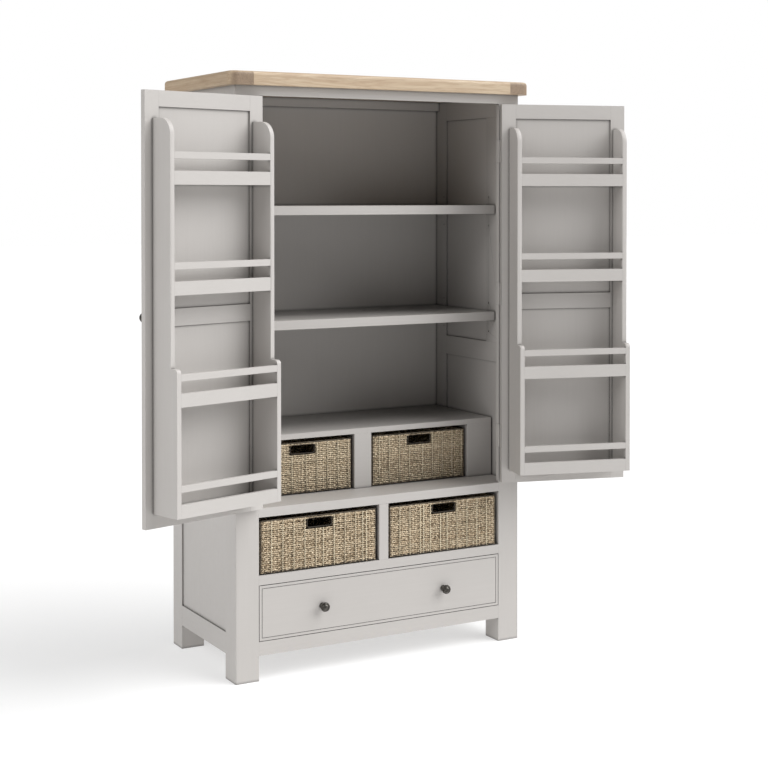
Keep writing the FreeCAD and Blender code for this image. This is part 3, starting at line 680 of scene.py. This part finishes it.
def turned_knob(name, foot, heading, reach, radius, body):
    """A smooth turned knob standing on a face: foot is the middle of its base."""
    across = heading.cross(AXES["z"]).normalized()
    sides = KNOB_SIDES
    vertices = []
    faces = []
    for share, out in KNOB_PROFILE:
        for k in range(sides):
            angle = 2 * math.pi * k / sides
            spoke = across * math.cos(angle) + AXES["z"] * math.sin(angle)
            vertices.append(foot + heading * (out * reach) + spoke * (share * radius))
    for i in range(len(KNOB_PROFILE) - 1):
        for k in range(sides):
            following = (k + 1) % sides
            here, there = i * sides, (i + 1) * sides
            faces.append((here + k, there + k, there + following, here + following))
    tip = len(vertices)
    vertices += [foot + heading * reach, foot]
    last = (len(KNOB_PROFILE) - 1) * sides
    for k in range(sides):
        following = (k + 1) % sides
        faces.append((last + k, tip, last + following))
        faces.append((following, tip + 1, k))
    return new_piece(name, vertices, faces, PEWTER, body)


def knobs(node, body, heading, halves=(0,)):
    """Replace a node of one or two CAD knobs by turned ones."""
    heading = Vector(heading).normalized()
    across = heading.cross(AXES["z"])
    points = [nodes[node].matrix_world @ vertex.co for vertex in nodes[node].data.vertices]
    for half in halves:
        own = [point for point in points if point.x * half >= 0]
        along_axis = [point.dot(heading) for point in own]
        sideways = [point.dot(across) for point in own]
        heights = [point.z for point in own]
        radius = (max(heights) - min(heights)) / 2
        foot = heading * (max(along_axis) - KNOB_REACH)
        foot += across * ((max(sideways) + min(sideways)) / 2)
        foot += AXES["z"] * ((max(heights) + min(heights)) / 2)
        suffix = {0: "", -1: "_left", 1: "_right"}[half]
        piece = turned_knob(f"turned_{node}{suffix}", foot, heading, KNOB_REACH, radius, body)
        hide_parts(node)


knobs("drawer_knobs", "drawer", (0, -1, 0), (-1, 1))
for name, side in (("left", -1), ("right", 1)):
    turn = DOOR_TURN * side
    knobs(f"{name}_door_knob", f"{name}_door", (math.sin(turn), -math.cos(turn), 0))


# ---------------------------------------------------------------- floor, light and camera
# The world's strength as a light; the camera sees it white
AMBIENT = 0.2
FLOOR_REACH = 40.0
# Each lamp's name, where it shines from, its strength and its spread in degrees
LAMPS = (
    ("key", (3.02, -2.2, 3.35), 3.8, 60),
    ("side", (-3.4, -0.5, 2.5), 1.3, 50),
)
LENS = 72.77
LENS_SHIFT = -0.2133
EYE = (-2.4755, FACE_Y - 4.405, 1.5215)
EYE_TILT = 89.07
EYE_TURN = -29.34


def studio():
    """A pale floor and soft light from above, mostly from the front right."""
    mesh = bpy.data.meshes.new("floor")
    reach = FLOOR_REACH
    corners = [(-reach, -reach, 0), (reach, -reach, 0), (reach, reach, 0), (-reach, reach, 0)]
    mesh.from_pydata(corners, [], [(0, 1, 2, 3)])
    mesh.materials.append(FLOOR)
    floor = bpy.data.objects.new("floor", mesh)
    bpy.context.scene.collection.objects.link(floor)
    bpy.context.scene.view_settings.view_transform = "Standard"
    world = bpy.data.worlds.new("studio")
    bpy.context.scene.world = world
    world.use_nodes = True
    tree = world.node_tree
    sky = tree.nodes["Background"]
    sky.inputs["Color"].default_value = (1.0, 1.0, 1.0, 1.0)
    seen = tree.nodes.new("ShaderNodeLightPath").outputs["Is Camera Ray"]
    level = tree.nodes.new("ShaderNodeMapRange")
    level.inputs["To Min"].default_value = AMBIENT
    level.inputs["To Max"].default_value = 1.0
    tree.links.new(seen, level.inputs["Value"])
    tree.links.new(level.outputs[0], sky.inputs["Strength"])
    for name, direction, strength, spread in LAMPS:
        data = bpy.data.lights.new(name, "SUN")
        data.energy = strength
        data.angle = math.radians(spread)
        lamp = bpy.data.objects.new(name, data)
        lamp.location = direction
        lamp.rotation_euler = Vector(direction).to_track_quat("Z", "Y").to_euler()
        bpy.context.scene.collection.objects.link(lamp)


def camera():
    """A long lens at chest height, to the left of the front, looking level; the shift sets the frame."""
    data = bpy.data.cameras.new("camera")
    data.lens = LENS
    data.sensor_width = 36.0
    data.shift_y = LENS_SHIFT
    data.clip_end = 60.0
    eye = bpy.data.objects.new("camera", data)
    eye.location = EYE
    eye.rotation_euler = (math.radians(EYE_TILT), 0.0, math.radians(EYE_TURN))
    bpy.context.scene.collection.objects.link(eye)
    bpy.context.scene.camera = eye


studio()
camera()
